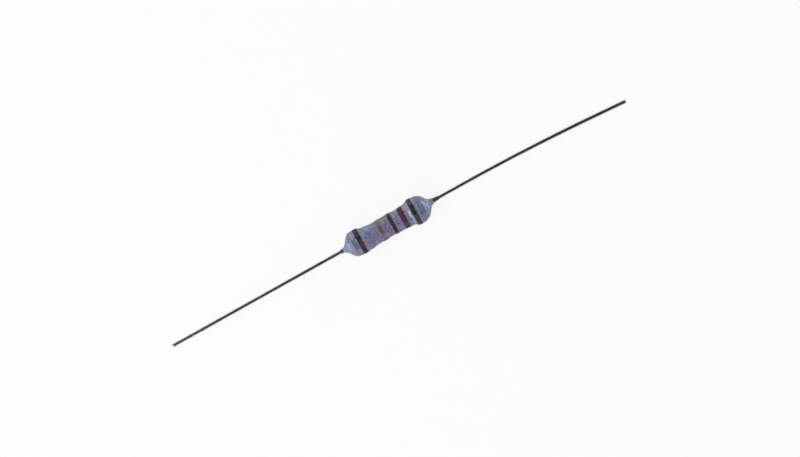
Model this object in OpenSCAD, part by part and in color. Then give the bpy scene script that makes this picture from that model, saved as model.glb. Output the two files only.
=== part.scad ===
// Axial film resistor, lying on a surface as it comes to rest.
// Millimetres. +X runs along the body towards the first colour band, +Z is up,
// and the origin is on the surface, under the middle of the overall length.

/* [Ceramic rod] */
// Length of the ceramic rod
rod_length = 12.9; // [11.5:0.1:15]
// Diameter of the ceramic rod
rod_diameter = 2.9; // [2.5:0.1:3.4]

/* [Resistive film] */
// Thickness of the metal film, drawn heavy enough to be a solid
film_thickness = 0.04; // [0.02:0.01:0.08]
// Width of the kerf that is cut round the film
kerf_width = 0.3; // [0.15:0.05:0.5]
// Turns that the kerf makes round the rod
kerf_turns = 5; // [2:1:8]
// Uncut film between each cap's rim and the kerf
kerf_land = 0.7; // [0.4:0.1:1.5]

/* [End caps] */
// Length of a pressed cap, over its base
cap_length = 2.45; // [2:0.05:3]
// Wall thickness of a cap
cap_wall = 0.3; // [0.2:0.05:0.4]
// Radius inside a cap, where its wall meets its base
cap_inner_corner = 0.1; // [0.05:0.05:0.2]
// Room between that radius and the chamfer on the rod
corner_clearance = 0.05; // [0.03:0.01:0.1]

/* [Leads] */
// Diameter of the lead wire
lead_diameter = 0.6; // [0.5:0.05:0.8]
// Length of the left lead outside the lacquer
left_lead_length = 30.9; // [24:0.1:38]
// Length of the right lead outside the lacquer
right_lead_length = 33.6; // [24:0.1:38]
// Straight wire between the lacquer and the slow bend
bend_start = 3.5; // [2:0.5:6]
// Straight wire between the slow bend and the tip
straight_end = 6; // [4:0.5:10]
// Turn of the left bend away from straight down, in degrees
left_bend_roll = 0; // [-35:1:35]
// Turn of the right bend away from straight down, in degrees
right_bend_roll = -30; // [-35:1:35]
// Diameter of the weld where a lead meets its cap
weld_diameter = 1.1; // [0.9:0.05:1.5]
// Height of the weld's fillet up the wire
weld_height = 0.3; // [0.15:0.05:0.45]
// Thickness of the flash at the weld's rim
weld_flash = 0.08; // [0.04:0.01:0.12]
// Length of the chisel that the shears leave at a tip
shear_length = 0.15; // [0.1:0.05:0.5]
// Thickness of the ridge at the end of that chisel
shear_ridge = 0.3; // [0.1:0.02:0.4]
// How far the ball that joins two runs of the wire stands proud of it
joint_swell = 0.003; // [0.002:0.001:0.006]

/* [Lacquer] */
// Lacquer over the film, along the waist
coat_over_film = 0.26; // [0.15:0.01:0.4]
// Lacquer over the caps, on the crowns
coat_over_cap = 0.41; // [0.3:0.01:0.55]
// Distance from a cap's base to the foot of the nose
coat_over_base = 0.55; // [0.45:0.05:0.8]
// How far the lacquer's fillet runs inwards from a cap's rim
fillet_reach = 2.1; // [1.2:0.1:3]
// How far the shoulder runs outwards from a cap's rim
shoulder_reach = 0.35; // [0.2:0.05:0.5]
// Distance from a cap's base back to the start of the nose
nose_length = 1.35; // [1:0.05:1.5]
// Diameter at the foot of the nose
foot_diameter = 1.94; // [1.8:0.02:2.4]
// Slope of the lacquer at the foot of the nose, in degrees
foot_slope = 52; // [45:1:60]
// Neck of lacquer drawn along the left lead, from the foot
left_neck = 1.2; // [0.8:0.05:2.2]
// Neck of lacquer drawn along the right lead, from the foot
right_neck = 1.9; // [0.8:0.05:2.2]
// Thickness of the lacquer's edge on the wire
neck_lip = 0.02; // [0.02:0.01:0.06]

/* [Colour bands] */
// Thickness of the paint
band_thickness = 0.04; // [0.02:0.01:0.08]
// Width over which the paint thins to its edge
band_edge = 0.08; // [0.04:0.01:0.12]
// Thickness that is left at that edge
band_lip = 0.016; // [0.01:0.002:0.02]
// Distance from the right cap's base to the middle of the first band
first_band_inset = 2.03; // [1.6:0.01:2.2]
// Distance from the left cap's base to the middle of the tolerance band
tolerance_band_inset = 1.74; // [1.6:0.01:2.2]
// Distance between the middles of neighbouring value bands
band_pitch = 1.98; // [1.5:0.02:2.2]
// Width of the first band
first_band_width = 0.8; // [0.5:0.05:1]
// Width of the second band
second_band_width = 0.9; // [0.5:0.05:1]
// Width of the third band
third_band_width = 0.65; // [0.5:0.05:1]
// Width of the multiplier band
multiplier_band_width = 0.85; // [0.5:0.05:1.2]
// Width of the tolerance band
tolerance_band_width = 0.82; // [0.5:0.02:1]

/* [Hidden] */
$fn = 96;

// Radii, from the rod outwards
rod_r = rod_diameter / 2;
film_r = rod_r + film_thickness;
cap_r = film_r + cap_wall;
cap_outer_corner = cap_inner_corner + cap_wall;
rod_chamfer = cap_inner_corner + corner_clearance;
lead_r = lead_diameter / 2;
weld_r = weld_diameter / 2;
waist_r = film_r + coat_over_film;
crown_r = cap_r + coat_over_cap;
foot_r = foot_diameter / 2;

// Stations along the body, from its middle towards either end
rod_end = rod_length / 2;
cap_base = rod_end + cap_wall;
cap_rim = cap_base - cap_length;
nose_start = cap_base - nose_length;
foot_x = cap_base + coat_over_base;
left_exit = foot_x + left_neck;
right_exit = foot_x + right_neck;

// Height of the body's axis: the bands on the two crowns touch the surface
axis_height = crown_r + band_thickness;

// Point at t on a cubic Bezier curve with the control points p
function bezier(p, t) =
    pow(1 - t, 3) * p[0] + 3 * t * pow(1 - t, 2) * p[1]
    + 3 * t * t * (1 - t) * p[2] + pow(t, 3) * p[3];

// The curve in n steps, from the step `from`
function curve(p, n, from = 0) = [for (i = [from : n]) bezier(p, i / n)];

// A path with its first coordinate negated and its order reversed
function mirrored(path) = [for (i = [len(path) - 1 : -1 : 0]) [-path[i][0], path[i][1]]];

// A path of [station, radius] as [radius, station], for rotate_extrude
function turned(path) = [for (p = path) [p[1], p[0]]];

// The lacquer's outline, from the waist to its edge on the wire, as [station, radius]

shoulder_steps = 12;
nose_steps = 14;
neck_steps = 8;

// How hard each curve is pulled along its end tangents
shoulder_pull = 0.2;
crown_pull = 0.5;
nose_pull = 1.1;
foot_pull = 0.9;
neck_pull = 0.7;

foot_direction = [cos(foot_slope), -sin(foot_slope)];
foot = [foot_x, foot_r];

function shoulder() = curve([
    [cap_rim - fillet_reach, waist_r],
    [cap_rim - shoulder_pull, waist_r],
    [cap_rim + shoulder_reach - crown_pull, crown_r],
    [cap_rim + shoulder_reach, crown_r]], shoulder_steps);

function nose() = curve([
    [nose_start, crown_r],
    [nose_start + nose_pull, crown_r],
    foot - foot_pull * foot_direction,
    foot], nose_steps);

function neck(length) = curve([
    foot,
    foot + neck_pull * foot_direction,
    [foot_x + length / 2, lead_r + 2 * neck_lip],
    [foot_x + length, lead_r + neck_lip]], neck_steps, 1);

function end_outline(neck_length) = concat(shoulder(), nose(), neck(neck_length));

lacquer_outline = concat(mirrored(end_outline(left_neck)), end_outline(right_neck));

// The surfaces that the lacquer is cured on, from a cap's rim outwards

corner_steps = 8;
weld_steps = 8;

// Rounded corner from the cap's wall to its base
function cap_corner(base, radius, corner) =
    [for (i = [0 : corner_steps]) let (a = 90 * i / corner_steps)
        [base - corner * (1 - sin(a)), radius - corner * (1 - cos(a))]];

// Concave fillet from the weld's rim down to the wire, standing on the cap's base
function weld_outline(base) =
    [for (i = [0 : weld_steps]) let (a = 90 * i / weld_steps)
        [base + weld_flash + (weld_height - weld_flash) * (1 - cos(a)),
         lead_r + (weld_r - lead_r) * (1 - sin(a))]];

function end_core(exit) = concat(
    [[cap_rim, film_r], [cap_rim, cap_r]],
    cap_corner(cap_base, cap_r, cap_outer_corner),
    [[cap_base, weld_r]],
    weld_outline(cap_base),
    [[exit, lead_r]]);

core_outline = concat(mirrored(end_core(left_exit)), end_core(right_exit));

// Leads: each runs straight out of the lacquer, curves slowly down, and ends straight

// Length of the curved stretch
function bend_length(length) = length - bend_start - straight_end;

// Radius at which that stretch turns through the angle
function bend_radius(length, angle) = bend_length(length) / (angle * PI / 180);

// How far the wire's end lies from the straight line, with its chisel left off
function end_offset(length, angle) =
    bend_radius(length, angle) * (1 - cos(angle)) + (straight_end - shear_length) * sin(angle);

// How far its tip reaches along that line, from the lacquer
function tip_reach(length, angle) =
    bend_start + bend_radius(length, angle) * sin(angle) + straight_end * cos(angle);

// Height of the wire's underside over the surface, where its chisel begins
function end_height(length, angle, roll) =
    axis_height - end_offset(length, angle) * cos(roll)
    - lead_r * sqrt(1 - pow(sin(angle) * cos(roll), 2));

// The bend that brings the wire's end down to the surface, found by halving a range
function bend_angle(length, roll, low = 0, high = 30, steps = 40) =
    let (middle = (low + high) / 2)
    steps == 0 ? middle :
    end_height(length, middle, roll) > 0
        ? bend_angle(length, roll, middle, high, steps - 1)
        : bend_angle(length, roll, low, middle, steps - 1);

left_bend = bend_angle(left_lead_length, left_bend_roll);
right_bend = bend_angle(right_lead_length, right_bend_roll);
left_tip = left_exit + tip_reach(left_lead_length, left_bend);
right_tip = right_exit + tip_reach(right_lead_length, right_bend);

// The body's middle, so that the origin halves the overall length
body_x = (left_tip - right_tip) / 2;

// Turns what stands on +Z to lie along the body, pointing right
module pointing_right() {
    translate([body_x, 0, axis_height]) rotate([0, 90, 0]) children();
}

// The same, pointing left
module pointing_left() {
    translate([body_x, 0, axis_height]) rotate([0, 0, 180]) rotate([0, 90, 0]) children();
}

// A solid of revolution round +Z from a closed path of [station, radius]
module revolved(path) {
    rotate_extrude() polygon(turned(path));
}

module ceramic_rod() {
    color("ivory")
    pointing_right()
    revolved([
        [-rod_end, 0],
        [-rod_end, rod_r - rod_chamfer],
        [-rod_end + rod_chamfer, rod_r],
        [rod_end - rod_chamfer, rod_r],
        [rod_end, rod_r - rod_chamfer],
        [rod_end, 0]]);
}

// The film is a tube with a helical kerf through it. It is one strip wound round
// the rod: column i stands at 360 * i / film_columns degrees, and spans the film
// from low(i) to high(i). The first turn starts at the film's plain left edge and
// the last ends at its right edge, and in between the kerf parts each turn from
// the next.
film_columns = 48;
film_half = rod_end - rod_chamfer;
kerf_from = -(cap_rim - kerf_land) + kerf_width / 2;
kerf_pitch = -2 * kerf_from / kerf_turns;
last_turn = film_columns * kerf_turns;
strip_end = last_turn + film_columns;

module resistive_film() {
    function kerf(i) = kerf_from + kerf_pitch * i / film_columns;
    function low(i) = i < film_columns ? -film_half : kerf(i - film_columns) + kerf_width / 2;
    function high(i) = i <= last_turn ? kerf(i) - kerf_width / 2 : film_half;
    function at(i, radius, station) =
        let (a = 360 * i / film_columns) [radius * cos(a), radius * sin(a), station];
    function layer(radius) = concat(
        [for (i = [0 : strip_end]) at(i, radius, low(i))],
        [for (i = [0 : strip_end - 1]) at(i, radius, high(i))],
        [at(last_turn, radius, film_half)]);

    // Numbers of the points: low edge, high edge and the right edge over the kerf's end
    high_0 = strip_end + 1;
    top = high_0 + strip_end;
    inner = top + 1;

    function quad(i) = [i, i + 1, high_0 + i + 1, high_0 + i];
    function fan(hub, ring) = [for (k = [0 : len(ring) - 2]) [hub, ring[k], ring[k + 1]]];

    // Faces of one layer, with a fan at each end of the kerf
    strip = concat(
        [for (i = [0 : film_columns - 2]) quad(i)],
        fan(film_columns - 1,
            [0, high_0, film_columns, high_0 + film_columns, high_0 + film_columns - 1]),
        [for (i = [film_columns : last_turn - 1]) quad(i)],
        fan(last_turn + 1,
            [high_0 + last_turn + 1, top, strip_end, high_0 + last_turn, last_turn]),
        [for (i = [last_turn + 1 : strip_end - 2]) quad(i)],
        [[strip_end - 1, strip_end, top, high_0 + strip_end - 1]]);

    // Edges of a layer, in order: left rim, kerf's end and low side, high side, right rim
    rim = concat(
        [for (i = [0 : film_columns - 1]) [i, (i + 1) % film_columns]],
        [[film_columns, high_0]],
        [for (i = [film_columns : strip_end - 1]) [i, i + 1]],
        [for (i = [0 : last_turn - 1]) [high_0 + i + 1, high_0 + i]],
        [[high_0 + last_turn, strip_end]],
        [for (i = [last_turn + 1 : strip_end - 2]) [high_0 + i + 1, high_0 + i]],
        [[high_0 + last_turn + 1, top], [top, high_0 + strip_end - 1]]);

    outer_faces = [for (f = strip) [for (k = [len(f) - 1 : -1 : 0]) f[k]]];
    inner_faces = [for (f = strip) [for (k = f) k + inner]];
    walls = [for (e = rim) [e[0], e[1], e[1] + inner, e[0] + inner]];

    color("dimgray")
    pointing_right()
    polyhedron(
        points = concat(layer(film_r), layer(rod_r / cos(180 / film_columns))),
        faces = concat(outer_faces, inner_faces, walls),
        convexity = 10);
}

// A drawn steel cup, pressed over the film at the end of the rod
module end_cap() {
    color("silver")
    revolved(concat(
        [[cap_rim, film_r], [cap_rim, cap_r]],
        cap_corner(cap_base, cap_r, cap_outer_corner),
        [[cap_base, 0], [rod_end, 0]],
        [for (i = [corner_steps : -1 : 0])
            cap_corner(rod_end, film_r, cap_inner_corner)[i]]));
}

// Tinned wire, butt-welded to the cap's base, with its slow bend turned by roll
module lead(exit, length, bend, roll) {
    bend_at = exit + bend_start;
    radius = bend_radius(length, bend);
    color("gray")
    rotate([0, 0, roll]) {
        revolved(concat(
            [[cap_base, 0], [cap_base, weld_r]],
            weld_outline(cap_base),
            [[bend_at, lead_r], [bend_at, 0]]));
        translate([0, 0, bend_at]) {
            wire_joint();
            translate([radius, 0, 0])
                rotate([-90, 0, 0]) rotate([0, 0, 180])
                rotate_extrude(angle = bend) translate([radius, 0]) circle(r = lead_r);
            translate([radius * (1 - cos(bend)), 0, radius * sin(bend)]) rotate([0, bend, 0]) {
                wire_joint();
                rotate([0, 0, -roll]) sheared_wire(straight_end);
            }
        }
    }
}

// Ball that joins two runs of the wire
module wire_joint() {
    sphere(r = lead_r + joint_swell);
}

// Straight wire on +Z, whose top is nipped to a ridge along Y by the shears
module sheared_wire(length) {
    slope = atan((lead_r - shear_ridge / 2) / shear_length);
    nip = 2 * lead_diameter;
    difference() {
        cylinder(h = length, r = lead_r);
        for (side = [0, 180])
            rotate([0, 0, side])
            translate([shear_ridge / 2, -nip / 2, length])
            rotate([0, 90 - slope, 0])
            translate([-nip, 0, 0])
            cube([2 * nip, nip, nip]);
    }
}

// Dipped lacquer, cured in one skin over the film, the caps and the welds
module lacquer_coat() {
    core = [for (i = [len(core_outline) - 1 : -1 : 0]) core_outline[i]];
    color("steelblue")
    pointing_right()
    revolved(concat(lacquer_outline, core));
}

// A ring of paint on the lacquer, round the station `middle`
module colour_band(middle, width, paint) {
    from = middle - width / 2;
    to = middle + width / 2;
    stations = concat(
        [from, from + band_edge],
        [for (p = lacquer_outline) if (p[0] > from + band_edge && p[0] < to - band_edge) p[0]],
        [to - band_edge, to]);
    under = concat(
        [from],
        [for (p = lacquer_outline) if (p[0] > from && p[0] < to) p[0]],
        [to]);
    over = [for (s = stations)
        [s, lookup(s, lacquer_outline) + (s > from && s < to ? band_thickness : band_lip)]];
    color(paint)
    pointing_right()
    revolved(concat(
        over,
        [for (i = [len(under) - 1 : -1 : 0]) [under[i], lookup(under[i], lacquer_outline)]]));
}

first_band = cap_base - first_band_inset;
tolerance_band = -cap_base + tolerance_band_inset;

ceramic_rod();
resistive_film();
pointing_left() end_cap();  // end_cap_left
pointing_right() end_cap();  // end_cap_right
pointing_left() lead(left_exit, left_lead_length, left_bend, left_bend_roll);  // lead_left
pointing_right() lead(right_exit, right_lead_length, right_bend, right_bend_roll);  // lead_right
lacquer_coat();
colour_band(first_band, first_band_width, "saddlebrown");  // band_digit_1
colour_band(first_band - band_pitch, second_band_width, "firebrick");  // band_digit_2
colour_band(first_band - 2 * band_pitch, third_band_width, "black");  // band_digit_3
colour_band(first_band - 3 * band_pitch, multiplier_band_width, "darkgoldenrod");  // band_multiplier
colour_band(tolerance_band, tolerance_band_width, "saddlebrown");  // band_tolerance
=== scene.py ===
import math

import bpy
import numpy as np
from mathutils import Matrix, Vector


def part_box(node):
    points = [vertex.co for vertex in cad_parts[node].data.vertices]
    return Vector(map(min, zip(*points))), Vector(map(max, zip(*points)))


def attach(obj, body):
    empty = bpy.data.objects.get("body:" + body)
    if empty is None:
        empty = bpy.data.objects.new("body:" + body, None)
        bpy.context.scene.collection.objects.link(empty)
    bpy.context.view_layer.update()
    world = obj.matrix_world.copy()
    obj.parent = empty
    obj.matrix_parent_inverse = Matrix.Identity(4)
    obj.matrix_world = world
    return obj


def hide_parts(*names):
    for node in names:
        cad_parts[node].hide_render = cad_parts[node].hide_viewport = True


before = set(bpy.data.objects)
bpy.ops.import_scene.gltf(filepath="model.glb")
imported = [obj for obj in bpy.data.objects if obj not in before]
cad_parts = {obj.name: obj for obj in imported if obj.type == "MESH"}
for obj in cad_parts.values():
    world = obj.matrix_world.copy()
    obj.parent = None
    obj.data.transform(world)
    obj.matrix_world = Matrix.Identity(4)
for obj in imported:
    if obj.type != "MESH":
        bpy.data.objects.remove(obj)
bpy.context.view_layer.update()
mm = 0.001

# the rod carries everything, so its middle is the middle of the body
rodLow, rodHigh = (np.array(corner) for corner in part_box("ceramic_rod"))
middle = (rodLow + rodHigh) / 2
axisHeight = middle[2] / mm


def stationOf(x):
    # distance along the body from its middle, in mm
    return (x - middle[0]) / mm


lacquerLow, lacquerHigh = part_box("lacquer_coat")
capLow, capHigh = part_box("end_cap_right")
print("frame loaded, body middle at", [round(float(v) / mm, 3) for v in middle], "mm")


def easedCurve(x, knots):
    # value at x between (station, value) knots, with flat tangents at each knot
    stations = np.array([k[0] for k in knots])
    values = np.array([k[1] for k in knots])
    x = np.clip(x, stations[0], stations[-1])
    i = np.clip(np.searchsorted(stations, x, side="right") - 1, 0, len(stations) - 2)
    t = (x - stations[i]) / (stations[i + 1] - stations[i])
    t = t * t * (3 - 2 * t)
    return values[i] * (1 - t) + values[i + 1] * t


def bezierPoints(controls, count, skipFirst=False):
    p = np.array(controls, float)
    t = np.linspace(0, 1, count + 1)[1 if skipFirst else 0:, None]
    return (1 - t) ** 3 * p[0] + 3 * t * (1 - t) ** 2 * p[1] + 3 * t * t * (1 - t) * p[2] + t ** 3 * p[3]


def ringMesh(name, rings, closedLoop=False, capStart=False, capEnd=False):
    # rings: array (ring, around, xyz) in metres; every ring closes on itself
    rings = np.asarray(rings)
    count, around = rings.shape[:2]
    verts = rings.reshape(-1, 3)
    faces = []
    for i in range(count if closedLoop else count - 1):
        a, b = i * around, ((i + 1) % count) * around
        for j in range(around):
            k = (j + 1) % around
            faces.append((a + j, b + j, b + k, a + k))
    if capStart:
        faces.append(tuple(range(around)))
    if capEnd:
        faces.append(tuple(range(count * around - 1, (count - 1) * around - 1, -1)))
    mesh = bpy.data.meshes.new(name)
    mesh.from_pydata(verts.tolist(), [], faces)
    mesh.update()
    mesh.polygons.foreach_set("use_smooth", [True] * len(mesh.polygons))
    obj = bpy.data.objects.new(name, mesh)
    bpy.context.scene.collection.objects.link(obj)
    return obj


def newGroup(name, inputs, outputs):
    group = bpy.data.node_groups.new(name, "ShaderNodeTree")
    for label, kind, value in inputs:
        socket = group.interface.new_socket(name=label, in_out="INPUT", socket_type=kind)
        if value is not None:
            socket.default_value = value
    for label, kind in outputs:
        group.interface.new_socket(name=label, in_out="OUTPUT", socket_type=kind)
    return group, group.nodes.new("NodeGroupInput"), group.nodes.new("NodeGroupOutput")


def feed(tree, socket, value):
    # a socket takes a number, a colour or another node's output
    if isinstance(value, (int, float)):
        socket.default_value = value
    elif isinstance(value, (tuple, list)):
        socket.default_value = (*value[:3], 1.0)
    else:
        tree.links.new(value, socket)


def mathNode(tree, operation, a, b=None, clamp=False):
    node = tree.nodes.new("ShaderNodeMath")
    node.operation = operation
    node.use_clamp = clamp
    feed(tree, node.inputs[0], a)
    if b is not None:
        feed(tree, node.inputs[1], b)
    return node.outputs[0]


def noiseNode(tree, vector, scale, detail=3.0, roughness=0.5):
    node = tree.nodes.new("ShaderNodeTexNoise")
    node.inputs["Detail"].default_value = detail
    node.inputs["Roughness"].default_value = roughness
    feed(tree, node.inputs["Vector"], vector)
    feed(tree, node.inputs["Scale"], scale)
    return node.outputs["Fac"]


def rangeNode(tree, value, low, high, toLow=0.0, toHigh=1.0):
    node = tree.nodes.new("ShaderNodeMapRange")
    node.interpolation_type = "SMOOTHSTEP"
    for socket, number in zip(list(node.inputs)[:5], (value, low, high, toLow, toHigh)):
        feed(tree, socket, number)
    return node.outputs["Result"]


def mixColour(tree, factor, a, b, blend="MIX"):
    node = tree.nodes.new("ShaderNodeMix")
    node.data_type = "RGBA"
    node.blend_type = blend
    sockets = [s for s in node.inputs if s.enabled]
    for socket, value in zip(sockets, (factor, a, b)):
        feed(tree, socket, value)
    return [s for s in node.outputs if s.enabled][0]


# patches of two tones, such as uneven pigment
mottle, gin, gout = newGroup("unevenTone", [
    ("Vector", "NodeSocketVector", None), ("Scale", "NodeSocketFloat", 900.0),
    ("Tone A", "NodeSocketColor", (0.5, 0.5, 0.5, 1)), ("Tone B", "NodeSocketColor", (0.4, 0.4, 0.4, 1)),
    ("Sharpness", "NodeSocketFloat", 0.15)],
    [("Color", "NodeSocketColor"), ("Mask", "NodeSocketFloat")])
broad = noiseNode(mottle, gin.outputs["Vector"], gin.outputs["Scale"], detail=2.5, roughness=0.45)
lowEdge = mathNode(mottle, "SUBTRACT", 0.5, gin.outputs["Sharpness"])
highEdge = mathNode(mottle, "ADD", 0.5, gin.outputs["Sharpness"])
patch = rangeNode(mottle, broad, lowEdge, highEdge)
mottle.links.new(patch, gout.inputs["Mask"])
twoTone = mixColour(mottle, patch, gin.outputs["Tone A"], gin.outputs["Tone B"])
mottle.links.new(twoTone, gout.inputs["Color"])

# orange peel and slow waves of a coat that flowed before it set
flow, gin, gout = newGroup("flowedSurface", [
    ("Vector", "NodeSocketVector", None), ("Peel Scale", "NodeSocketFloat", 4200.0),
    ("Wave Scale", "NodeSocketFloat", 700.0), ("Wave Share", "NodeSocketFloat", 0.6)],
    [("Height", "NodeSocketFloat"), ("Dulling", "NodeSocketFloat")])
peel = noiseNode(flow, gin.outputs["Vector"], gin.outputs["Peel Scale"], detail=1.5)
wave = noiseNode(flow, gin.outputs["Vector"], gin.outputs["Wave Scale"], detail=1.0)
peelShare = mathNode(flow, "SUBTRACT", 1.0, gin.outputs["Wave Share"])
height = mathNode(flow, "ADD", mathNode(flow, "MULTIPLY", wave, gin.outputs["Wave Share"]),
                  mathNode(flow, "MULTIPLY", peel, peelShare))
flow.links.new(height, gout.inputs["Height"])
dulling = rangeNode(flow, noiseNode(flow, gin.outputs["Vector"], 1600.0, detail=4.0), 0.42, 0.68)
flow.links.new(dulling, gout.inputs["Dulling"])

# pigment that clumped, so that hue and depth shift from grain to grain
clumps, gin, gout = newGroup("clumpedPigment", [
    ("Vector", "NodeSocketVector", None), ("Color", "NodeSocketColor", (0.5, 0.5, 0.5, 1)),
    ("Scale", "NodeSocketFloat", 2600.0), ("Amount", "NodeSocketFloat", 0.3),
    ("Contrast", "NodeSocketFloat", 0.8), ("Hue Share", "NodeSocketFloat", 0.25)],
    [("Color", "NodeSocketColor")])
grains = clumps.nodes.new("ShaderNodeTexNoise")
grains.inputs["Detail"].default_value = 1.5
clumps.links.new(gin.outputs["Vector"], grains.inputs["Vector"])
clumps.links.new(gin.outputs["Scale"], grains.inputs["Scale"])
hues = mixColour(clumps, gin.outputs["Hue Share"], grains.outputs["Fac"], grains.outputs["Color"])
spread = clumps.nodes.new("ShaderNodeBrightContrast")
clumps.links.new(hues, spread.inputs["Color"])
clumps.links.new(gin.outputs["Contrast"], spread.inputs["Contrast"])
shifted = mixColour(clumps, gin.outputs["Amount"], gin.outputs["Color"], spread.outputs[0], "SOFT_LIGHT")
clumps.links.new(shifted, gout.inputs["Color"])

# small dark specks, such as dust and pigment grains
specks, gin, gout = newGroup("darkSpecks", [
    ("Vector", "NodeSocketVector", None), ("Scale", "NodeSocketFloat", 2500.0),
    ("Size", "NodeSocketFloat", 0.16), ("Share", "NodeSocketFloat", 0.25)],
    [("Mask", "NodeSocketFloat")])
cells = specks.nodes.new("ShaderNodeTexVoronoi")
specks.links.new(gin.outputs["Vector"], cells.inputs["Vector"])
specks.links.new(gin.outputs["Scale"], cells.inputs["Scale"])
inner = mathNode(specks, "MULTIPLY", gin.outputs["Size"], 0.6)
near = rangeNode(specks, cells.outputs["Distance"], inner, gin.outputs["Size"], 1.0, 0.0)
pick = specks.nodes.new("ShaderNodeSeparateColor")
specks.links.new(cells.outputs["Color"], pick.inputs[0])
chosen = mathNode(specks, "LESS_THAN", pick.outputs[0], gin.outputs["Share"])
specks.links.new(mathNode(specks, "MULTIPLY", near, chosen), gout.inputs["Mask"])

# fine lines that a die or a lathe leaves, along X or round it
lines, gin, gout = newGroup("drawnLines", [
    ("Vector", "NodeSocketVector", None), ("Along", "NodeSocketFloat", 120.0),
    ("Across", "NodeSocketFloat", 9000.0), ("Lines Round X", "NodeSocketFloat", 0.0)],
    [("Height", "NodeSocketFloat"), ("Mask", "NodeSocketFloat")])
parts = lines.nodes.new("ShaderNodeSeparateXYZ")
lines.links.new(gin.outputs["Vector"], parts.inputs[0])
span = mathNode(lines, "SUBTRACT", gin.outputs["Across"], gin.outputs["Along"])
turned = mathNode(lines, "MULTIPLY", span, gin.outputs["Lines Round X"])
scaleX = mathNode(lines, "ADD", gin.outputs["Along"], turned)
scaleYZ = mathNode(lines, "SUBTRACT", gin.outputs["Across"], turned)
packed = lines.nodes.new("ShaderNodeCombineXYZ")
for index, factor in enumerate((scaleX, scaleYZ, scaleYZ)):
    lines.links.new(mathNode(lines, "MULTIPLY", parts.outputs[index], factor), packed.inputs[index])
scratches = noiseNode(lines, packed.outputs[0], 1.0, detail=3.0, roughness=0.6)
lines.links.new(scratches, gout.inputs["Height"])
lines.links.new(rangeNode(lines, scratches, 0.35, 0.7), gout.inputs["Mask"])

# where a point lies on the body: mm along it from its middle, degrees round it from the top
onBody, gin, gout = newGroup("placeOnBody", [("Vector", "NodeSocketVector", None)],
                             [("Station", "NodeSocketFloat"), ("Angle", "NodeSocketFloat")])
parts = onBody.nodes.new("ShaderNodeSeparateXYZ")
onBody.links.new(gin.outputs["Vector"], parts.inputs[0])
along = mathNode(onBody, "SUBTRACT", parts.outputs["X"], float(middle[0]))
sideways = mathNode(onBody, "SUBTRACT", float(middle[1]), parts.outputs["Y"])
upwards = mathNode(onBody, "SUBTRACT", parts.outputs["Z"], float(middle[2]))
turn = mathNode(onBody, "ARCTAN2", sideways, upwards)
onBody.links.new(mathNode(onBody, "DIVIDE", along, mm), gout.inputs["Station"])
onBody.links.new(mathNode(onBody, "DEGREES", turn), gout.inputs["Angle"])

# one patch on the body with a ragged edge, for tone patches in the dip and for painted highlights and
# painted shade
ragged, gin, gout = newGroup("raggedPatch", [
    ("Vector", "NodeSocketVector", None), ("Station", "NodeSocketFloat", 0.0),
    ("Angle", "NodeSocketFloat", 0.0), ("At Station", "NodeSocketFloat", 0.0),
    ("At Angle", "NodeSocketFloat", 0.0), ("Half Length", "NodeSocketFloat", 0.5),
    ("Half Angle", "NodeSocketFloat", 30.0), ("Slant", "NodeSocketFloat", 0.0),
    ("Blur", "NodeSocketFloat", 0.07), ("Raggedness", "NodeSocketFloat", 1.1)],
    [("Mask", "NodeSocketFloat")])
ahead = mathNode(ragged, "SUBTRACT", gin.outputs["Station"], gin.outputs["At Station"])
aside = mathNode(ragged, "SUBTRACT", gin.outputs["Angle"], gin.outputs["At Angle"])
aside = mathNode(ragged, "SUBTRACT", aside, mathNode(ragged, "MULTIPLY", ahead, gin.outputs["Slant"]))
squares = []
for offset, half in ((ahead, "Half Length"), (aside, "Half Angle")):
    share = mathNode(ragged, "DIVIDE", offset, gin.outputs[half])
    squares.append(mathNode(ragged, "MULTIPLY", share, share))
reach = mathNode(ragged, "SQRT", mathNode(ragged, "ADD", squares[0], squares[1]))
edge = noiseNode(ragged, gin.outputs["Vector"], 2800.0, detail=3.0, roughness=0.6)
edge = mathNode(ragged, "MULTIPLY", mathNode(ragged, "SUBTRACT", edge, 0.5), gin.outputs["Raggedness"])
reach = mathNode(ragged, "ADD", reach, edge)
innerEdge = mathNode(ragged, "SUBTRACT", 1.0, gin.outputs["Blur"])
outerEdge = mathNode(ragged, "ADD", 1.0, gin.outputs["Blur"])
ragged.links.new(rangeNode(ragged, reach, innerEdge, outerEdge, 1.0, 0.0), gout.inputs["Mask"])
print("node groups built")


def newMaterial(name):
    material = bpy.data.materials.new(name)
    material.use_nodes = True
    tree = material.node_tree
    shader = tree.nodes["Principled BSDF"]
    place = tree.nodes.new("ShaderNodeTexCoord").outputs["Object"]
    return material, tree, shader, place


def useGroup(tree, group, vector, **values):
    node = tree.nodes.new("ShaderNodeGroup")
    node.node_tree = group
    tree.links.new(vector, node.inputs["Vector"])
    for label, value in values.items():
        feed(tree, node.inputs[label.replace("_", " ")], value)
    return node


def addPatches(tree, place, colour, tones, spots):
    # lays each spot's tone over the colour
    spot = useGroup(tree, onBody, place)
    for tone, station, angle, halfLength, halfAngle, slant, amount in spots:
        mask = useGroup(tree, ragged, place, Station=spot.outputs["Station"], Angle=spot.outputs["Angle"],
                        At_Station=station, At_Angle=angle, Half_Length=halfLength, Half_Angle=halfAngle,
                        Slant=slant)
        share = mathNode(tree, "MULTIPLY", mask.outputs["Mask"], amount)
        colour = mixColour(tree, share, colour, tones[tone])
    return colour


def addBump(tree, shader, height, strength, distance):
    bump = tree.nodes.new("ShaderNodeBump")
    bump.inputs["Strength"].default_value = strength
    bump.inputs["Distance"].default_value = distance
    tree.links.new(height, bump.inputs["Height"])
    tree.links.new(bump.outputs["Normal"], shader.inputs["Normal"])


def dress(obj, material, slot=None):
    obj.data.materials.clear()
    obj.data.materials.append(material)
    if slot:
        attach(obj, "root")


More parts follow.
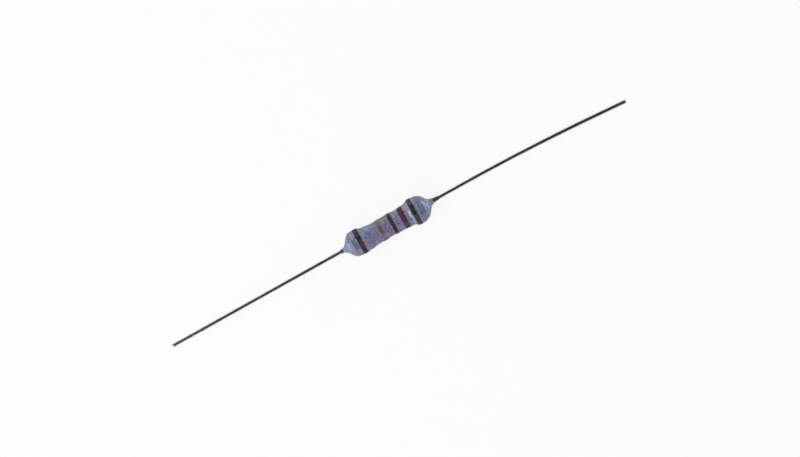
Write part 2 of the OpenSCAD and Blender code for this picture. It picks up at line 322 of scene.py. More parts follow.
# stations and radii in mm; stations run from the body's middle
coat = {
    "waistRadius": 1.75, "crownRadius": 2.2,
    "capRim": stationOf(capLow[0]), "capBase": stationOf(capHigh[0]),
    "leftExit": -stationOf(lacquerLow[0]), "rightExit": stationOf(lacquerHigh[0]),
    "filletReach": 2.1, "shoulderReach": 0.35, "noseLength": 1.35,
    "footStation": 7.3, "footRadius": 0.97, "footSlope": 52, "lip": 0.02, "wireRadius": 0.3,
    # inner controls of the curves: rimPull is measured back from the cap's rim, the rest from a curve's end
    "rimPull": 0.2, "crownHandle": 0.5, "noseHandle": 1.1, "footHandle": 0.9, "neckHandle": 0.7,
    "shoulderPoints": 60, "nosePoints": 70, "neckPoints": 50,
    # how the dip departs from true: in radius, and at its centre along Y and Z
    "radiusDrift": [(-8.5, 0), (-7.6, 0.05), (-7.0, 0.09), (-6.4, 0.055), (-5.9, -0.04), (-5.0, -0.058),
                    (-4.3, -0.1), (-3.5, 0.075), (-2.8, 0.022), (-1.9, 0.02), (-1.2, 0.038), (-0.3, 0.024),
                    (0.6, 0.026), (1.25, 0.055), (1.9, 0.03), (3.3, 0.04), (3.7, 0), (3.95, 0.006),
                    (4.5, 0.055), (4.75, 0.08), (5.6, 0.05), (6.4, 0), (6.75, 0.035), (7.0, 0.035),
                    (7.5, 0), (7.9, 0.05), (8.25, -0.01), (9.0, 0)],
    "sideDrift": [(-8.4, 0), (-7.1, -0.05), (-6.2, 0.035), (-4.8, 0), (-4.0, -0.11), (-1.6, -0.095),
                  (0.3, -0.025), (1.8, -0.08), (3.9, -0.042), (5.2, -0.115), (6.5, -0.09), (7.1, -0.12),
                  (8.1, 0), (9.2, 0)],
    "liftDrift": [(-8, 0), (-6, -0.05), (-4.7, -0.045), (-3.3, 0), (3.0, 0), (4.5, 0.08), (5.7, 0.05),
                  (7.6, 0), (8.5, 0)],
    "crestRise": [(5.5, 0), (6.45, 0.08), (7.6, 0)],    # on the top alone
    # each wave's count round the body, phase gained per mm along it, first phase and share
    "ripple": 0.012, "rippleWaves": [(2, 0.9, 0.0, 0.5), (3, -0.6, 1.7, 0.3), (5, 1.3, 0.0, 0.2)],
    "crownMiddle": 5, "crownFade": 1.5, "crownRipple": 0.1, "rippleEnd": 8.0, "endFade": 1.2,
    "stations": 300, "around": 128,
}


def coatOutline(c, exitStation):
    # one half, from the fillet on the waist to the lip on the wire
    slope = math.radians(c["footSlope"])
    down = np.array([math.cos(slope), -math.sin(slope)])
    foot = np.array([c["footStation"], c["footRadius"]])
    rim, base, waist, crown = c["capRim"], c["capBase"], c["waistRadius"], c["crownRadius"]
    shoulderEnd = rim + c["shoulderReach"]
    noseStart = base - c["noseLength"]
    lip = c["wireRadius"] + c["lip"]
    shoulder = bezierPoints([(rim - c["filletReach"], waist), (rim - c["rimPull"], waist),
                             (shoulderEnd - c["crownHandle"], crown), (shoulderEnd, crown)],
                            c["shoulderPoints"])
    nose = bezierPoints([(noseStart, crown), (noseStart + c["noseHandle"], crown),
                         foot - c["footHandle"] * down, foot], c["nosePoints"])
    tail = (foot[0] + exitStation) / 2
    neck = bezierPoints([foot, foot + c["neckHandle"] * down, (tail, lip + c["lip"]), (exitStation, lip)],
                        c["neckPoints"], skipFirst=True)
    return np.vstack([shoulder, nose, neck])


rightHalf = coatOutline(coat, coat["rightExit"])
leftHalf = coatOutline(coat, coat["leftExit"])
outline = np.vstack([leftHalf[::-1] * [-1, 1], rightHalf])


def coatPoints(stations, angles, lift=0.0):
    # points on the lacquer, raised by lift; stations and angles broadcast
    s, angles, lift = np.broadcast_arrays(stations, angles, lift)
    radius = np.interp(s, outline[:, 0], outline[:, 1]) + easedCurve(s, coat["radiusDrift"])
    ripple = sum(np.sin(count * angles + gain * s + start) * share
                 for count, gain, start, share in coat["rippleWaves"])
    # the ripple is less over the caps, and there is none on the wire
    offCrown = np.clip(np.abs(np.abs(s) - coat["crownMiddle"]) / coat["crownFade"], coat["crownRipple"], 1)
    offNeck = np.clip((coat["rippleEnd"] - np.abs(s)) / coat["endFade"], 0, 1)
    radius = radius + coat["ripple"] * ripple * offCrown * offNeck + lift
    x = middle[0] + s * mm
    y = middle[1] + (easedCurve(s, coat["sideDrift"]) + radius * np.sin(angles)) * mm
    crest = easedCurve(s, coat["crestRise"]) * np.clip(np.cos(angles), 0, 1)
    z = middle[2] + (easedCurve(s, coat["liftDrift"]) + crest + radius * np.cos(angles)) * mm
    return np.stack([x, y, z], axis=-1)


def evenStations(path, count):
    # stations spread evenly along the outline's own length
    length = np.concatenate([[0], np.cumsum(np.hypot(*np.diff(path, axis=0).T))])
    return np.interp(np.linspace(0, length[-1], count), length, path[:, 0])


# what the lacquer set on: film, cap and weld, from the waist out to the wire
core = {
    "filmRadius": 1.49, "capRadius": 1.79, "capCorner": 0.4,
    "weldRadius": 0.55, "weldFlash": 0.08, "weldHeight": 0.3,
    "cornerRings": 9, "weldSteps": 8,
}


def weldPath(base):
    # the weld's rim and its fillet up the wire
    turn = np.linspace(0, math.pi / 2, core["weldSteps"] + 1)
    flash, wireRadius = core["weldFlash"], coat["wireRadius"]
    x = base + flash + (core["weldHeight"] - flash) * (1 - np.cos(turn))
    return np.stack([x, wireRadius + (core["weldRadius"] - wireRadius) * (1 - np.sin(turn))], 1)


def coreHalf(exitStation):
    rim, base, corner = coat["capRim"], coat["capBase"], core["capCorner"]
    turn = np.linspace(0, math.pi / 2, core["cornerRings"])
    x = base - corner * (1 - np.sin(turn))
    rounded = np.stack([x, core["capRadius"] - corner * (1 - np.cos(turn))], 1)
    return np.vstack([[(rim, core["filmRadius"]), (rim, core["capRadius"])], rounded,
                      [(base, core["weldRadius"])], weldPath(base),
                      [(exitStation, coat["wireRadius"])]])


angles = np.linspace(0, 2 * math.pi, coat["around"], endpoint=False)
outerStations = evenStations(outline, coat["stations"])
outerRings = coatPoints(outerStations[:, None], angles[None, :])
corePath = np.vstack([coreHalf(coat["leftExit"])[::-1] * [-1, 1], coreHalf(coat["rightExit"])])[::-1]
innerRings = np.stack([
    np.stack([np.full_like(angles, s), r * np.sin(angles), r * np.cos(angles)], 1) * mm + middle
    for s, r in corePath])
lacquerCoat = ringMesh("lacquerCoat", np.concatenate([outerRings, innerRings]), closedLoop=True)

lacquerLook = {
    "midBlue": (0.162, 0.199, 0.337), "steelBlue": (0.124, 0.158, 0.252), "mauve": (0.182, 0.154, 0.262),
    # the pale blue is a painted highlight
    "highlightBlue": (0.240, 0.330, 0.505), "deepBlue": (0.124, 0.155, 0.295),
    # the dark steel is painted shade, on the crown tops where the lamps fall strongest and down the right
    # nose's flanks
    "greyMauve": (0.236, 0.220, 0.252), "shadeSteel": (0.098, 0.126, 0.198),
    # the thin coat tone serves both the thin lacquer at the foot of each nose and a painted highlight on
    # the right shoulder
    "beige": (0.208, 0.182, 0.204), "thinCoatAndHighlight": (0.31, 0.29, 0.32),
    # side is a painted shade for the flanks
    "side": (0.125, 0.110, 0.130), "grain": (0.44, 0.37, 0.36), "speck": (0.05, 0.04, 0.05),
    "tail": (0.048, 0.040, 0.048),
    "glossiest": 0.12, "dullest": 0.25, "dustStrength": 0.8, "gritStrength": 0.7,
    # the station, angle or noise where each effect starts and ends, then its share at both
    # the second entry below bounds by angle the painted shade on the flanks, and the third fades it out
    # underneath
    "onEnds": (3.2, 5.0, 0.0, 0.85), "paintedFlankShade": (48, 64, 0.0, 0.85), "underside": (95, 125, 1.0, 0.0),
    "rightEnd": (5.5, 6.2, 1.0, 0.35), "patchy": (0.3, 0.65, 0.3, 1.0), "atFoot": (7.5, 7.8, 0.0, 0.85),
    "flickShare": (3.4, 4.8, 0.22, 0.05), "grainStart": (22, 42, 0.0, 0.6),
    "grainEnd": (50, 60, 1.0, 0.15), "onWire": (7.95, 8.25, 0.0, 1.0),
    # tone, station, angle, half length, half angle, slant, amount
    "patches": [
        ("mauve", -3.2, 42, 1.25, 33, 0, 0.95),
        ("midBlue", -2.9, -30, 0.95, 26, 0, 0.9),
        # painted highlights on the upper side of the left waist and shoulder
        ("highlightBlue", -2.95, -40, 1.0, 14, 0, 0.45),
        ("highlightBlue", -4.15, -26, 0.32, 17, 0, 0.9),
        ("highlightBlue", -3.1, -52, 0.6, 11, 0, 0.8),
        ("steelBlue", -3.3, -3, 0.62, 17, 8, 1.0),
        ("mauve", -1.9, -2, 0.42, 26, 0, 1.0),
        ("midBlue", -2.3, 44, 0.25, 20, 0, 0.9),
        ("greyMauve", -4.38, 26, 0.22, 46, 0, 0.8),
        ("greyMauve", -4.2, -54, 0.4, 14, 0, 0.9),
        ("beige", -4.15, 48, 0.2, 28, 0, 0.6),
        ("mauve", -0.1, 6, 0.6, 55, 0, 1.0),
        ("beige", -1.24, 0, 0.58, 400, 0, 0.85),
        # painted shade along the upper edge and down both flanks of the waist
        ("beige", -0.6, -52, 1.1, 13, 0, 0.7),
        ("greyMauve", -0.6, -36, 1.5, 11, 0, 0.6),
        ("side", -0.3, -63, 1.3, 10, 0, 1.0),
        ("side", 1.15, -60, 0.6, 11, 0, 0.9),
        ("side", 0.4, 62, 1.3, 12, 0, 0.9),
        ("side", -2.5, 64, 0.6, 10, 0, 0.7),
        ("greyMauve", 1.85, -38, 0.55, 32, 0, 0.85),
        ("greyMauve", 1.33, -8, 0.17, 44, 0, 0.8),
        ("midBlue", 1.65, -50, 0.13, 14, 0, 0.9),
        ("steelBlue", 1.72, 10, 0.17, 24, 0, 0.9),
        ("midBlue", 1.95, 36, 0.45, 18, 0, 0.9),
        ("midBlue", 3.6, 24, 0.6, 45, 0, 0.9),
        ("greyMauve", 3.85, -42, 0.55, 26, 0, 0.95),
        ("thinCoatAndHighlight", 3.58, -28, 0.32, 32, 0, 1.0),
        ("thinCoatAndHighlight", 4.1, -56, 0.3, 9, 0, 0.6),
        ("greyMauve", 3.3, 4, 0.12, 34, 0, 0.4),
        ("steelBlue", 3.63, 14, 0.16, 26, 0, 1.0),
        # painted highlight on the right shoulder, beside the strip lamp's streak
        ("thinCoatAndHighlight", 3.98, -12, 0.2, 22, 0, 0.7),
        ("highlightBlue", 4.03, 30, 0.2, 24, 0, 0.6),
        ("thinCoatAndHighlight", 4.05, 36, 0.17, 20, 0, 0.5),
        # painted highlight on the upper side of the left crown
        ("highlightBlue", -5.8, -42, 0.45, 17, 0, 0.85),
        ("beige", -5.52, 0, 0.12, 400, 0, 0.45),
        ("steelBlue", -6.0, 4, 0.42, 24, 0, 1.0),
        # painted shade on the top of the left crown
        ("shadeSteel", -6.22, 4, 0.14, 20, 0, 0.9),
        ("greyMauve", -5.75, 38, 0.3, 14, 0, 0.7),
        # painted highlight on the left nose
        ("highlightBlue", -7.08, -3, 0.4, 30, 0, 0.8),
        ("midBlue", -7.07, 18, 0.08, 18, 0, 0.5),
        # painted shade down both flanks of the left nose
        ("beige", -6.6, -58, 0.35, 22, 0, 0.9),
        ("side", -6.7, -66, 0.4, 14, 0, 0.6),
        ("beige", -6.6, 54, 0.6, 20, 0, 0.85),
        ("deepBlue", 6.35, 0, 0.95, 400, 0, 0.7),
        # painted shade down both flanks of the right nose
        ("shadeSteel", 6.75, 64, 0.5, 17, 0, 0.9),
        ("shadeSteel", 6.75, -62, 0.5, 15, 0, 0.8),
        ("greyMauve", 5.37, -34, 0.17, 46, 0, 0.9),
        ("greyMauve", 5.33, 48, 0.16, 34, 0, 0.8),
        ("steelBlue", 5.95, 5, 0.5, 24, 0, 1.0),
        # painted shade on the top of the right crown
        ("shadeSteel", 6.2, 7, 0.27, 19, 0, 0.4),
        # painted highlight streaks on the right nose
        ("highlightBlue", 6.86, 2, 0.42, 16, 78, 0.95),
        ("highlightBlue", 7.2, -16, 0.14, 22, 0, 0.6),
    ],
}
lacquer, tree, shader, place = newMaterial("blueGreyLacquer")
look = lacquerLook
spot = useGroup(tree, onBody, place)
fromMiddle = mathNode(tree, "ABSOLUTE", spot.outputs["Station"])
tone = useGroup(tree, mottle, place, Scale=620.0, Tone_A=look["midBlue"], Tone_B=look["mauve"],
                Sharpness=0.05)
onEnds = rangeNode(tree, fromMiddle, *look["onEnds"])
body = mixColour(tree, onEnds, tone.outputs["Color"], look["midBlue"])
body = addPatches(tree, place, body, look, look["patches"])
# painted shade darkens the flanks down the sides, and the coat pulls thin at the foot of each nose
fromTop = mathNode(tree, "ABSOLUTE", spot.outputs["Angle"])
paintedFlankShade = mathNode(tree, "MULTIPLY", rangeNode(tree, fromTop, *look["paintedFlankShade"]),
                    rangeNode(tree, fromTop, *look["underside"]))
paintedFlankShade = mathNode(tree, "MULTIPLY", paintedFlankShade,
                    rangeNode(tree, spot.outputs["Station"], *look["rightEnd"]))
patchy = rangeNode(tree, noiseNode(tree, place, 1900.0), *look["patchy"])
body = mixColour(tree, mathNode(tree, "MULTIPLY", paintedFlankShade, patchy), body, look["side"])
atFoot = rangeNode(tree, fromMiddle, *look["atFoot"])
body = mixColour(tree, mathNode(tree, "MULTIPLY", atFoot, patchy), body, look["thinCoatAndHighlight"])
flicks = useGroup(tree, mottle, place, Scale=2300.0, Tone_A=look["midBlue"], Tone_B=look["mauve"],
                  Sharpness=0.04)
flickShare = rangeNode(tree, fromMiddle, *look["flickShare"])
body = mixColour(tree, flickShare, body, flicks.outputs["Color"])
body = useGroup(tree, clumps, place, Color=body, Scale=3100.0, Amount=0.7, Contrast=0.75).outputs["Color"]
dust = useGroup(tree, specks, place, Scale=1900.0, Size=0.2, Share=0.12)
dustShare = mathNode(tree, "MULTIPLY", dust.outputs["Mask"], look["dustStrength"])
body = mixColour(tree, dustShare, body, look["speck"])
# a spill of coarser dust by the multiplier band, and pale grains low on the flanks
spill = useGroup(tree, ragged, place, Station=spot.outputs["Station"], Angle=spot.outputs["Angle"],
                 At_Station=-0.4, At_Angle=2.0, Half_Length=0.4, Half_Angle=28.0)
grit = useGroup(tree, specks, place, Scale=2700.0, Size=0.4, Share=0.33)
gritShare = mathNode(tree, "MULTIPLY", grit.outputs["Mask"], spill.outputs["Mask"])
gritShare = mathNode(tree, "MULTIPLY", gritShare, look["gritStrength"])
body = mixColour(tree, gritShare, body, look["speck"])
pale = useGroup(tree, specks, place, Scale=2600.0, Size=0.45, Share=0.22)
lowDown = mathNode(tree, "MULTIPLY", rangeNode(tree, fromTop, *look["grainStart"]),
                   rangeNode(tree, fromTop, *look["grainEnd"]))
body = mixColour(tree, mathNode(tree, "MULTIPLY", pale.outputs["Mask"], lowDown), body, look["grain"])
# past the foot of the nose it is only a dark film on the wire
body = mixColour(tree, rangeNode(tree, fromMiddle, *look["onWire"]), body, look["tail"])
tree.links.new(body, shader.inputs["Base Color"])
skin = useGroup(tree, flow, place, Peel_Scale=4200.0, Wave_Scale=650.0, Wave_Share=0.55)
rough = rangeNode(tree, skin.outputs["Dulling"], 0.0, 1.0, look["glossiest"], look["dullest"])
tree.links.new(rough, shader.inputs["Roughness"])
shader.inputs["IOR"].default_value = 1.5
addBump(tree, shader, skin.outputs["Height"], 0.25, 0.06 * mm)
dress(lacquerCoat, lacquer, "lacquer")
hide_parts("lacquer_coat")
print("lacquer coat:", len(lacquerCoat.data.polygons), "faces")


# off is how far a ring sits from its drawn place and wobble how far its edges wander, in mm,
# flecks is the share of the paint's grains that show red, and spots give tone, distance from the
# band's middle, angle, half length, half angle and amount
# black spots at 64° to 74° either side of the top are painted shade down the rings' flanks; the others are
# dark spots in the paint
bands = {
    "band_digit_1": {
        "slot": "brown_paint", "off": -0.06, "wobble": 0.04, "seed": 1, "metal": 0.0, "flecks": 0.35,
        "dark": (0.040, 0.033, 0.039), "light": (0.060, 0.051, 0.058), "patch": (0.085, 0.070, 0.080),
        "spots": [("patch", 0, -50, 0.8, 20, 0.8), ("patch", 0, 24, 0.8, 8, 0.4),
                  ("patch", -0.4, -22, 0.15, 9, 1.0), ("black", -0.05, 3, 0.3, 14, 1.0),
                  ("black", 0.15, -18, 0.25, 8, 0.9), ("black", 0.1, -64, 0.6, 17, 0.8),
                  ("black", 0.1, 73, 0.6, 20, 0.9)]},
    "band_digit_2": {
        "slot": "red_paint", "off": 0.03, "wobble": 0.035, "seed": 2, "metal": 0.0, "flecks": 0.2,
        "dark": (0.056, 0.044, 0.051), "light": (0.086, 0.066, 0.077), "patch": (0.088, 0.030, 0.050),
        "spots": [("patch", 0, -14, 0.8, 38, 1.0), ("black", 0.3, 0, 0.1, 5, 1.0),
                  ("black", -0.35, 5, 0.1, 4, 1.0), ("black", 0.35, 22, 0.12, 4, 1.0),
                  ("black", 0, -64, 0.6, 14, 0.6), ("black", 0, 68, 0.6, 15, 0.8)]},
    "band_digit_3": {
        "slot": "black_paint", "off": 0.02, "wobble": 0.03, "seed": 3, "metal": 0.0, "flecks": 0.4,
        "dark": (0.024, 0.019, 0.023), "light": (0.038, 0.030, 0.036), "patch": (0.072, 0.030, 0.042),
        "spots": [("patch", 0, -57, 0.5, 18, 0.8), ("patch", 0.18, -24, 0.13, 14, 0.8),
                  ("patch", 0.2, 12, 0.1, 12, 0.6), ("patch", -0.22, -8, 0.08, 10, 0.5),
                  ("black", 0, -68, 0.5, 10, 0.7), ("black", 0, 66, 0.5, 14, 0.7)]},
    "band_multiplier": {
        "slot": "gold_paint", "off": -0.05, "wobble": 0.06, "seed": 4, "metal": 0.2, "flecks": 0.12,
        "dark": (0.188, 0.168, 0.184), "light": (0.228, 0.206, 0.230), "patch": (0.138, 0.116, 0.124),
        "spots": [("patch", 0.02, -1, 0.32, 32, 1.0), ("patch", 0, 66, 0.6, 12, 0.8)]},
    "band_tolerance": {
        "slot": "brown_paint", "off": 0.0, "wobble": 0.03, "seed": 5, "metal": 0.0, "flecks": 0.3,
        "dark": (0.032, 0.026, 0.031), "light": (0.060, 0.050, 0.057), "patch": (0.088, 0.028, 0.046),
        "spots": [("patch", 0.05, 20, 0.45, 13, 1.0), ("black", 0, -14, 0.3, 12, 1.0),
                  ("black", 0.1, -74, 0.6, 14, 0.6), ("black", 0, 72, 0.6, 20, 0.9)]},
}
bandBuild = {"around": 180, "across": 14, "thickness": 0.034, "bead": 0.006, "edge": 0.07, "sunk": 0.012,
             "beadPlace": 0.11, "beadWidth": 0.06, "edgeDip": 0.004, "thicknessWander": 0.003,
             "rightSeed": 20, "thicknessSeed": 40, "toneScale": 600.0, "toneStep": 130,
             "rough": (0.34, 0.5), "fleckStrength": 0.8,
             # black serves the paint's own dark spots and painted shade on the rings' flanks
             "black": (0.022, 0.018, 0.021), "fleck": (0.085, 0.022, 0.042)}
wavyLine = {"waves": 8, "fade": 0.7, "spread": 2.2}


def wander(angles, seed, amount):
    # a closed wavy line round the body
    rng = np.random.default_rng(seed)
    total = np.zeros_like(angles)
    for k in range(1, wavyLine["waves"] + 1):
        total += rng.normal() / k ** wavyLine["fade"] * np.sin(k * angles + rng.uniform(0, 2 * math.pi))
    return amount * total / wavyLine["spread"]


def buildBand(name, b, station, width):
    t = np.linspace(0, 2 * math.pi, bandBuild["around"], endpoint=False)
    left = station - width / 2 + wander(t, b["seed"], b["wobble"])
    right = station + width / 2 + wander(t, b["seed"] + bandBuild["rightSeed"], b["wobble"])
    thicknessSeed = b["seed"] + bandBuild["thicknessSeed"]
    thick = bandBuild["thickness"] + wander(t, thicknessSeed, bandBuild["thicknessWander"])
    u = np.linspace(0, 1, bandBuild["across"])
    rings = []
    for v in u:
        s = left * (1 - v) + right * v
        fromEdge = np.minimum(s - left, right - s)
        rise = np.sqrt(np.clip(1 - (1 - np.clip(fromEdge / bandBuild["edge"], 0, 1)) ** 2, 0, 1))
        fromBead = (fromEdge - bandBuild["beadPlace"]) / bandBuild["beadWidth"]
        bead = bandBuild["bead"] * np.exp(-fromBead ** 2)
        lift = rise * (thick - bandBuild["bead"] + bead) + (rise - 1) * bandBuild["edgeDip"]
        rings.append(coatPoints(s, t, lift))
    for v in u[::-1]:
        s = left * (1 - v) + right * v
        rings.append(coatPoints(s, t, -bandBuild["sunk"]))
    return ringMesh(name.replace("band_", "ring_"), rings, closedLoop=True)


for name, b in bands.items():
    bandLow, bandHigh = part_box(name)
    station = (stationOf(bandLow[0]) + stationOf(bandHigh[0])) / 2 + b["off"]
    width = (bandHigh[0] - bandLow[0]) / mm
    ring = buildBand(name, b, station, width)
    paint, tree, shader, place = newMaterial(name.replace("band_", "paint_"))
    scale = bandBuild["toneScale"] + bandBuild["toneStep"] * b["seed"]
    tone = useGroup(tree, mottle, place, Scale=scale, Tone_A=b["dark"], Tone_B=b["light"], Sharpness=0.15)
    tones = {"black": bandBuild["black"], **b}
    spots = [(kind, station + ahead, angle, halfLength, halfAngle, 0, amount)
             for kind, ahead, angle, halfLength, halfAngle, amount in b["spots"]]
    colour = addPatches(tree, place, tone.outputs["Color"], tones, spots)
    colour = useGroup(tree, clumps, place, Color=colour, Scale=3600.0, Amount=0.5).outputs["Color"]
    flecks = useGroup(tree, specks, place, Scale=2900.0, Size=0.32, Share=b["flecks"])
    fleckStrength = bandBuild["fleckStrength"] - b["metal"]
    fleckShare = mathNode(tree, "MULTIPLY", flecks.outputs["Mask"], fleckStrength)
    colour = mixColour(tree, fleckShare, colour, bandBuild["fleck"])
    tree.links.new(colour, shader.inputs["Base Color"])
    skin = useGroup(tree, flow, place, Peel_Scale=5200.0, Wave_Scale=1500.0, Wave_Share=0.45)
    rough = rangeNode(tree, skin.outputs["Dulling"], 0.0, 1.0, *bandBuild["rough"])
    tree.links.new(rough, shader.inputs["Roughness"])
    shader.inputs["Specular IOR Level"].default_value = 0.15
    shader.inputs["Metallic"].default_value = b["metal"]
    addBump(tree, shader, skin.outputs["Height"], 0.3, 0.04 * mm)
    dress(ring, paint, b["slot"])
    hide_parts(name)
print("colour bands:", len(bands))


# lengths in mm outside the lacquer; roll turns the slow bend from straight down
lead = {
    "radius": coat["wireRadius"], "bendStart": 3.5, "straightEnd": 6.0,
    "shearLength": 0.15, "shearRidge": 0.3, "around": 40, "step": 0.35,
    "weldGap": 0.2, "tipGap": 0.05, "shearRings": 7, "steepest": 30, "halvings": 50,
    # how far the drawn wire is from round and from its gauge, as shares of its radius
    "oval": 0.006, "ovalTwist": 0.31, "gaugeDrift": 0.004, "gaugeRate": 1.7,
    "left": {"side": -1, "exit": coat["leftExit"], "length": 30.9, "roll": 0.0, "seed": 11},
    "right": {"side": 1, "exit": coat["rightExit"], "length": 33.6, "roll": -30.0, "seed": 12},
}


def bendFor(arc, roll):
    # the bend that brings the wire's end down to the surface, found by halving
    low, high = 0.0, math.radians(lead["steepest"])
    rest = lead["straightEnd"] - lead["shearLength"]
    for _ in range(lead["halvings"]):
        a = (low + high) / 2
        drop = (arc / a * (1 - math.cos(a)) + rest * math.sin(a)) * math.cos(roll)
        under = lead["radius"] * math.sqrt(1 - (math.sin(a) * math.cos(roll)) ** 2)
        if axisHeight - drop - under > 0:
            low = a
        else:
            high = a
    return a


def buildLead(name, w):
    roll = math.radians(w["roll"])
    arc = w["length"] - lead["bendStart"] - lead["straightEnd"]
    bend = bendFor(arc, roll)
    curve = arc / bend
    bendAt = w["exit"] + lead["bendStart"]
    total = w["exit"] + w["length"]
    base, flash = coat["capBase"], core["weldFlash"]
    weld = weldPath(base)
    profile = [(base, core["weldRadius"]), (base + flash / 2, core["weldRadius"])]
    profile += [tuple(p) for p in weld]
    shearStart = total - lead["shearLength"]
    for s in np.arange(weld[-1][0] + lead["weldGap"], shearStart - lead["tipGap"], lead["step"]):
        profile.append((s, lead["radius"]))
    for s in np.linspace(shearStart, total, lead["shearRings"]):
        profile.append((s, lead["radius"]))
    t = np.linspace(0, 2 * math.pi, lead["around"], endpoint=False)
    downY, downZ = math.sin(roll) * w["side"], -math.cos(roll)
    rings = []
    for s, r in profile:
        turn = min(max((s - bendAt) / curve, 0.0), bend)
        rest = max(s - bendAt - arc, 0.0)
        out = min(s, bendAt) + curve * math.sin(turn) + rest * math.cos(bend)
        down = curve * (1 - math.cos(turn)) + rest * math.sin(bend)
        radius = np.full_like(t, r)
        if s > w["exit"]:
            oval = lead["oval"] * np.sin(2 * t + lead["ovalTwist"] * s)
            drift = lead["gaugeDrift"] * math.sin(lead["gaugeRate"] * s + w["seed"])
            radius = r * (1 + oval + drift)
        side, lift = radius * np.sin(t), radius * np.cos(t)
        nip = total - s
        if nip < lead["shearLength"] + 1e-9:
            # two flats that the shears press, meeting at a ridge across the wire
            ridge = lead["shearRidge"] / 2
            half = ridge + (lead["radius"] - ridge) * nip / lead["shearLength"]
            lift = np.clip(lift, -half, half)
        # the section stands square to the wire, whose bend lies in a plane rolled about X
        ahead = np.array([math.cos(turn), downY * math.sin(turn), downZ * math.sin(turn)])
        across = np.array([0, 1.0, 0]) - ahead * ahead[1]
        across /= np.linalg.norm(across)
        up = np.cross(ahead, across)
        points = np.array([out, downY * down, downZ * down]) + np.outer(side, across) + np.outer(lift, up)
        points[:, 0] *= w["side"]
        rings.append(middle + points * mm)
    if w["side"] < 0:
        rings = [ring[::-1] for ring in rings]
    return ringMesh(name, rings, capStart=True, capEnd=True)


wireLook = {"bright": (0.66, 0.645, 0.65), "dull": (0.46, 0.44, 0.45), "tarnish": (0.30, 0.28, 0.29),
            "polish": 0.12, "dullRough": 0.08, "lineRough": 0.06,
            # station where the tarnish starts and ends, then its share at both
            "tarnishing": (10.0, 32.0, 0.0, 0.7)}
wire, tree, shader, place = newMaterial("tinnedWire")
look = wireLook
tone = useGroup(tree, mottle, place, Scale=900.0, Tone_A=look["bright"], Tone_B=look["dull"], Sharpness=0.2)
spot = useGroup(tree, onBody, place)
tarnish = rangeNode(tree, spot.outputs["Station"], *look["tarnishing"])
metal = mixColour(tree, tarnish, tone.outputs["Color"], look["tarnish"])
tree.links.new(metal, shader.inputs["Base Color"])
drawn = useGroup(tree, lines, place, Along=150.0, Across=9000.0)
rough = mathNode(tree, "ADD", mathNode(tree, "MULTIPLY", tone.outputs["Mask"], look["dullRough"]),
                 mathNode(tree, "MULTIPLY", drawn.outputs["Mask"], look["lineRough"]))
tree.links.new(mathNode(tree, "ADD", rough, look["polish"]), shader.inputs["Roughness"])
shader.inputs["Metallic"].default_value = 1.0
addBump(tree, shader, drawn.outputs["Height"], 0.15, 0.02 * mm)
for name in ("left", "right"):
    piece = buildLead(name + "Lead", lead[name])
    dress(piece, wire, "tinned_wire")
    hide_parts("lead_" + name)
print("leads built")


# the hidden pieces keep their solids and get their own finishes
rodLook = {"ivory": (0.83, 0.80, 0.74), "shade": (0.74, 0.71, 0.65), "pore": (0.45, 0.42, 0.38),
           "poreStrength": 0.5, "rough": (0.62, 0.74)}
alumina, tree, shader, place = newMaterial("matAlumina")
look = rodLook
tone = useGroup(tree, mottle, place, Scale=1100.0, Tone_A=look["ivory"], Tone_B=look["shade"],
                Sharpness=0.2)
pores = useGroup(tree, specks, place, Scale=5200.0, Size=0.22, Share=0.3)
poreShare = mathNode(tree, "MULTIPLY", pores.outputs["Mask"], look["poreStrength"])
tree.links.new(mixColour(tree, poreShare, tone.outputs["Color"], look["pore"]), shader.inputs["Base Color"])
rough = rangeNode(tree, tone.outputs["Mask"], 0.0, 1.0, *look["rough"])
tree.links.new(rough, shader.inputs["Roughness"])
addBump(tree, shader, pores.outputs["Mask"], 0.4, 0.02 * mm)
dress(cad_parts["ceramic_rod"], alumina)

filmLook = {"bright": (0.36, 0.34, 0.32), "dull": (0.27, 0.27, 0.29), "rough": (0.35, 0.5)}
film, tree, shader, place = newMaterial("sputteredFilm")
look = filmLook
tone = useGroup(tree, mottle, place, Scale=500.0, Tone_A=look["bright"], Tone_B=look["dull"],
                Sharpness=0.25)
tree.links.new(tone.outputs["Color"], shader.inputs["Base Color"])
drawn = useGroup(tree, lines, place, Along=200.0, Across=7000.0, Lines_Round_X=1.0)
rough = rangeNode(tree, drawn.outputs["Mask"], 0.0, 1.0, *look["rough"])
tree.links.new(rough, shader.inputs["Roughness"])
shader.inputs["Metallic"].default_value = 1.0
addBump(tree, shader, drawn.outputs["Height"], 0.2, 0.01 * mm)
dress(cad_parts["resistive_film"], film)

capLook = {"bright": (0.64, 0.63, 0.61), "dull": (0.52, 0.51, 0.50), "rough": (0.24, 0.38)}
capSteel, tree, shader, place = newMaterial("pressedCap")
look = capLook
tone = useGroup(tree, mottle, place, Scale=700.0, Tone_A=look["bright"], Tone_B=look["dull"], Sharpness=0.2)
tree.links.new(tone.outputs["Color"], shader.inputs["Base Color"])
drawn = useGroup(tree, lines, place, Along=300.0, Across=8000.0)
rough = rangeNode(tree, drawn.outputs["Mask"], 0.0, 1.0, *look["rough"])
tree.links.new(rough, shader.inputs["Roughness"])
shader.inputs["Metallic"].default_value = 1.0
addBump(tree, shader, drawn.outputs["Height"], 0.2, 0.02 * mm)
for name in ("end_cap_left", "end_cap_right"):
    dress(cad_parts[name], capSteel)
print("rod, film and caps dressed")


# a round sweep in metres: flat floor, a cove and a wall, with nothing overhead
stage = {"flat": 1.15, "cove": 0.25, "wall": 0.5, "tone": (0.93, 0.93, 0.93), "shade": 0.99,
         "whiteShare": 0.85, "floorRings": (0.02, 0.2, 0.6), "coveSteps": 12, "around": 96,
         "sky": (0.052, 0.047, 0.052)}


